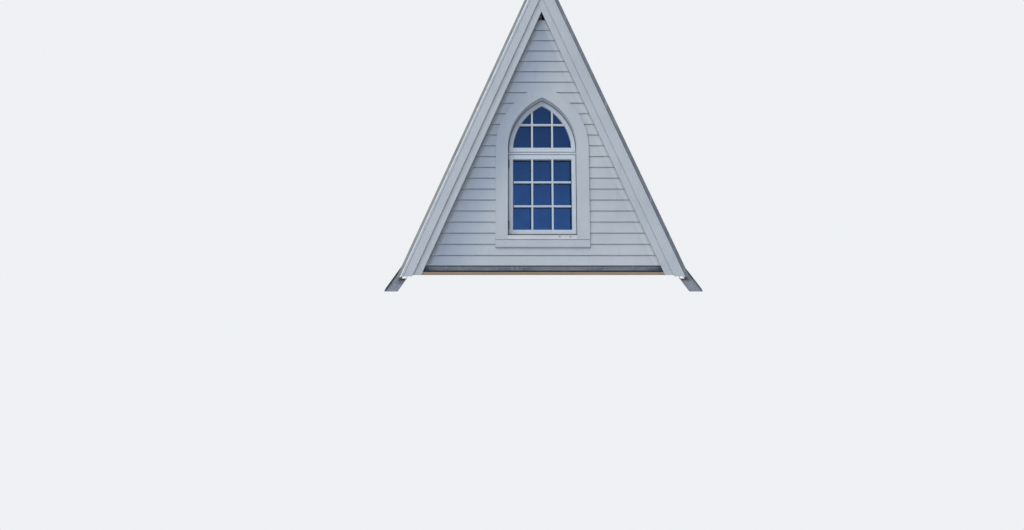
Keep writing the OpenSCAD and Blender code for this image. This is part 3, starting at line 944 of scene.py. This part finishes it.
def bar_sections(setback):
    """The putty side and the room side of a window bar, as points across it and in depth."""
    nose_y = sash_face_y + setback
    step_y = glass_back_y + bar_back_step
    room_y = sash_back_y - bar_back_gap
    wide = bar_w / 2
    narrow = bar_nose_w / 2
    moulded = bar_back_w / 2
    front = [(wide, glass_face_y), (narrow, nose_y), (-narrow, nose_y), (-wide, glass_face_y)]
    back = [
        (-moulded, glass_back_y), (-moulded, step_y), (-moulded / 2, room_y),
        (moulded / 2, room_y), (moulded, step_y), (moulded, glass_back_y),
    ]
    return front, back


def window_bars(name, uprights, rails, finish):
    """Bars halved into each other, the rails' noses a little behind those of the uprights."""
    parts = []
    for lines, setback in ((uprights, putty_setback), (rails, putty_setback + rail_setback)):
        for line in lines:
            for section in bar_sections(setback):
                parts.append(strip(name, section, line, False, finish))
    return fit(joined(name, parts), "white_timber")


def glaze_window(finish):
    sight = glazing_half - rebate_w
    uprights = [((x, casement_foot), (x, casement_head)) for x in (-bar_x, bar_x)]
    rails = [((-sight, z), (sight, z)) for z in casement_bar_z]
    window_bars("casement_bars", uprights, rails, finish)
    uprights = [((x, top_light_foot), (x, arch_height(glazing_half, bar_x))) for x in (-bar_x, bar_x)]
    reach = arch_half(glazing_half, top_light_bar_z)
    rails = [((-reach, top_light_bar_z), (reach, top_light_bar_z))]
    window_bars("top_light_bars", uprights, rails, finish)
    light = [
        (-glazing_half, casement_foot), (glazing_half, casement_foot),
        (glazing_half, casement_head), (-glazing_half, casement_head),
    ]
    fit(strip("casement_putty", putty_section(), light, True, finish), "white_timber")
    outline = lancet(glazing_half, top_light_foot)
    fit(strip("top_light_putty", putty_section(), outline, True, finish), "white_timber")


def lay_felt(finish):
    """Felt between the sheathing and the clapboards, down to the foot of the wall; its black strip below
    the clapboards also serves as painted shade under them.
    """
    low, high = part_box("gable_sheathing")
    back = low.y - felt_gap
    work = bmesh.new()
    work.from_mesh(nodes["gable_sheathing"].data)
    merged(work)
    for corner in work.verts:
        corner.co.y = back - (high.y - corner.co.y) / (high.y - low.y) * felt_t
    bmesh.ops.recalc_face_normals(work, faces=work.faces)
    piece = as_piece("felt_sheet", work, finish)
    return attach(piece, "root")


def turned_piece(work, profile, middle, cuts=20):
    """Turns a profile of radius and height about an upright line."""
    rings = []
    for radius, height in profile:
        angles = [2 * math.pi * number / cuts for number in range(cuts)]
        around = [(math.cos(a) * radius, math.sin(a) * radius) for a in angles]
        rings.append([work.verts.new((middle.x + x, middle.y + y, middle.z + height)) for x, y in around])
    for lower, upper in zip(rings, rings[1:]):
        for number in range(cuts):
            other = (number + 1) % cuts
            work.faces.new((lower[number], lower[other], upper[other], upper[number]))
    work.faces.new(reversed(rings[0]))
    work.faces.new(rings[-1])


def barrel_profile():
    """A hinge barrel between two collars, with a groove at the ends of each knuckle."""
    knuckle_l = (hinge_l - 2 * hinge_collar_l) / hinge_knuckles
    profile = [(hinge_pin_r, 0), (hinge_collar_r, hinge_collar_l)]
    for number in range(hinge_knuckles):
        foot = hinge_collar_l + number * knuckle_l
        head = foot + knuckle_l
        profile += [(hinge_groove_r, foot), (hinge_r, foot + hinge_groove_l)]
        profile += [(hinge_r, head - hinge_groove_l), (hinge_groove_r, head)]
    return profile + [(hinge_collar_r, hinge_l - hinge_collar_l), (hinge_pin_r, hinge_l)]


def hang_hinges(finish):
    """Two barrels, each with a leaf on the jamb."""
    low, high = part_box("hinges")
    axis_y = low.y + hinge_r
    work = bmesh.new()
    for foot_z in (low.z, high.z - hinge_l):
        turned_piece(work, barrel_profile(), Vector((low.x + hinge_r, axis_y, foot_z)))
        middle = Vector((low.x + leaf_t / 2, (axis_y + high.y) / 2, foot_z + hinge_l / 2))
        size = Matrix.Diagonal((leaf_t, high.y - axis_y, leaf_l, 1))
        bmesh.ops.create_cube(work, size=1, matrix=Matrix.Translation(middle) @ size)
    return fit(as_piece("hinge_pair", work, finish), "hinge_iron", "hinges")


# Everything on the frame

paint_across = white_paint("white_paint_across")
paint_upright = white_paint("white_paint_upright", upright)
window_paint_across = white_paint("window_paint_across", tones=window_white)
window_paint_upright = white_paint("window_paint_upright", upright, window_white)
paint_rake_left = white_paint("white_paint_left_rake", rake_left)
paint_rake_right = white_paint("white_paint_right_rake", rake_right)
surround_paint = casing_paint("casing_paint")
timber_across = sawn_timber("sawn_timber_across")
timber_upright = sawn_timber("sawn_timber_upright", upright)
timber_deep = sawn_timber("sawn_timber_front_to_back", depthwise)
timber_rake_left = sawn_timber("sawn_timber_left_slope", rake_left)
timber_rake_right = sawn_timber("sawn_timber_right_slope", rake_right)
stone = natural_slate("natural_slate")
metal = weathered_metal("weathered_sheet_metal")
glass = window_glass("window_glass")

painted_nodes = {
    "barge_back_left": paint_rake_left, "barge_face_left": paint_rake_left,
    "barge_back_right": paint_rake_right, "barge_face_right": paint_rake_right,
    "casing_foot": paint_across, "window_sill": sill_paint("sill_paint"),
    "frame_jamb_left": window_paint_upright, "frame_jamb_right": window_paint_upright,
    "frame_arch_left": paint_upright, "frame_arch_right": paint_upright, "transom": window_paint_across,
    "top_sash": window_paint_upright, "casement_sash": window_paint_upright,
}
sawn_nodes = {
    "sole_plate": timber_across, "rough_sill": timber_across, "window_header": timber_across,
    "collar_ties": timber_across, "window_stud_left": timber_upright, "window_stud_right": timber_upright,
    "side_stud_left": timber_upright, "side_stud_right": timber_upright, "ridge_board": timber_deep,
    "rafters_left": timber_rake_left, "rafters_right": timber_rake_right,
    "lay_board_left": timber_rake_left, "lay_board_right": timber_rake_right,
}
casing_nodes = ("casing_leg_left", "casing_arch_left", "casing_arch_right", "casing_leg_right")

# Nodes that keep their shape and only take a finish
refinished_nodes = {
    "ridge_cap": metal, "apron_flashing": metal, "valley_gutter_left": metal, "valley_gutter_right": metal,
    "verge_cap_left": weathered_metal("left_verge_sheet", lit_verge_metal, (-1, lit_rim)),
    "verge_cap_right": weathered_metal("right_verge_sheet", shaded_verge_metal, (1, shaded_rim)),
    "top_glass": glass, "casement_glass": glass,
}

for node, finish in painted_nodes.items():
    fit(eased(node + "_planed", finish, timber_edge, node), "white_timber", node)
for node, finish in sawn_nodes.items():
    fit(eased(node + "_sawn", finish, sawn_edge, node), "bare_timber", node)
fit(eased("casing_surround", surround_paint, timber_edge, *casing_nodes), "white_timber", *casing_nodes)
for node, finish in refinished_nodes.items():
    for material_slot in nodes[node].material_slots:
        material_slot.material = finish

boards = board_tree()
slates = slate_tree()
lay_clapboards(lapped_board_paint("clapboard_paint"))
lay_sheathing(timber_across)
for side, hand in ((-1, "left"), (1, "right")):
    lay_roof_boards(side, hand, timber_deep)
    lay_slates(side, hand, stone)
glaze_window(window_paint_upright)
lay_felt(building_felt("building_felt"))
hang_hinges(forged_iron("hinge_iron"))

# Stage, light and camera


def light_room():
    """Dim bluish light all round; the camera, the glass and the metal see a pale backdrop."""
    world = bpy.data.worlds.new("pale studio")
    bpy.context.scene.world = world
    world.use_nodes = True
    sky = NodeSheet(world.node_tree)
    room = sky.tree.nodes["Background"]
    sky.feed(room.inputs["Color"], (*room_light, 1))
    sky.feed(room.inputs["Strength"], room_strength)
    pale = sky.add("ShaderNodeBackground", {"Color": (*backdrop, 1), "Strength": 1.0})
    ray = sky.add("ShaderNodeLightPath").outputs
    mirrored = sky.math("MAXIMUM", ray["Is Transmission Ray"], ray["Is Glossy Ray"])
    seen = sky.math("MAXIMUM", ray["Is Camera Ray"], mirrored)
    mixed = sky.add("ShaderNodeMixShader", {0: seen, 1: room.outputs[0], 2: pale.outputs[0]})
    sky.feed(sky.tree.nodes["World Output"].inputs["Surface"], mixed.outputs[0])


def hang_lamp(name, energy, spread, colour, way):
    """A lamp that shines the same way everywhere, as soft as its spread in degrees is wide."""
    lamp = placed(name, bpy.data.lights.new(name, "SUN"))
    lamp.data.energy = energy
    lamp.data.angle = math.radians(spread)
    lamp.data.color = colour
    lamp.rotation_euler = Vector(way).to_track_quat("-Z", "Y").to_euler()


def lay_floor():
    ends = (-floor_half, floor_half)
    corners = [(x, y, floor_z) for x in ends for y in ends]
    mesh = bpy.data.meshes.new("floor")
    mesh.from_pydata(corners, [], [(0, 2, 3, 1)])
    finish = Finish("pale_floor", Roughness=0.9)
    mottled = finish.noise(finish.place, 0.3, 3)
    finish.feed(finish.shader.inputs["Base Color"], finish.blend(mottled, *floor_tones))
    mesh.materials.append(finish.material)
    floor = placed("floor", mesh)


def place_camera():
    camera = placed("camera", bpy.data.cameras.new("camera"))
    camera.data.lens = camera_lens
    camera.data.clip_end = camera_reach
    camera.location = camera_place
    camera.rotation_euler = (camera_tilt, 0, 0)
    bpy.context.scene.camera = camera


light_room()
hang_lamp("soft_key", energy=1.9, spread=60, colour=(1.0, 0.95, 0.89), way=(0.42, 0.58, -0.68))
hang_lamp("soft_top", energy=1.28, spread=110, colour=(0.72, 0.86, 1.0), way=(0.30, 0.58, -0.75))
hang_lamp("soft_back", energy=1.3, spread=60, colour=(0.95, 0.97, 1.0), way=(-0.80, -0.35, -0.50))
lay_floor()
place_camera()
bpy.context.scene.view_settings.view_transform = "Standard"
